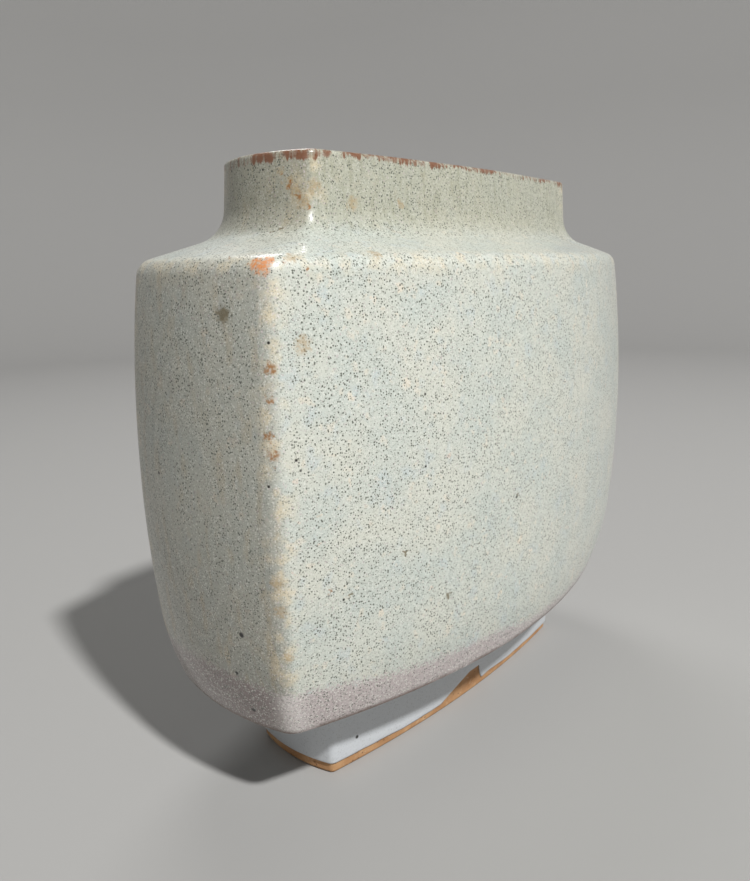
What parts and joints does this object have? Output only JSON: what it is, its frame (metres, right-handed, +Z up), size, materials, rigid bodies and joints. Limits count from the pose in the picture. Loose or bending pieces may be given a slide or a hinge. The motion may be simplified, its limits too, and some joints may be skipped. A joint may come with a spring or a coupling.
{
  "type": "pillow vase",
  "caption": "Flattened hand-built stoneware flower vase with bowed sides, a sloping shoulder, a short oblong neck with an open mouth, and a set-in foot, under a pale speckled glaze.",
  "frame": {"origin": "middle of the surface that the foot stands on", "axes": "+Z up through the mouth, +X along the vase's length, -Y towards the long face that the picture shows"},
  "size_m": [0.2134, 0.1044, 0.2],
  "materials": {
    "clay": "bare fired stoneware, sandy tan",
    "glaze": "satin pale grey-green glaze with fine dark speckle and iron spots",
    "liner": "satin pale grey-green glaze, lightly speckled"
  },
  "bodies": {
    "root": {"front_wall": "clay", "back_wall": "clay", "left_wall": "clay", "right_wall": "clay", "shoulder": "clay", "neck_front": "clay", "neck_back": "clay", "neck_left": "clay", "neck_right": "clay", "base": "clay", "foot_front": "clay", "foot_back": "clay", "foot_left": "clay", "foot_right": "clay", "outer_glaze": "glaze", "liner_glaze": "liner"}
  },
  "joints": []
}
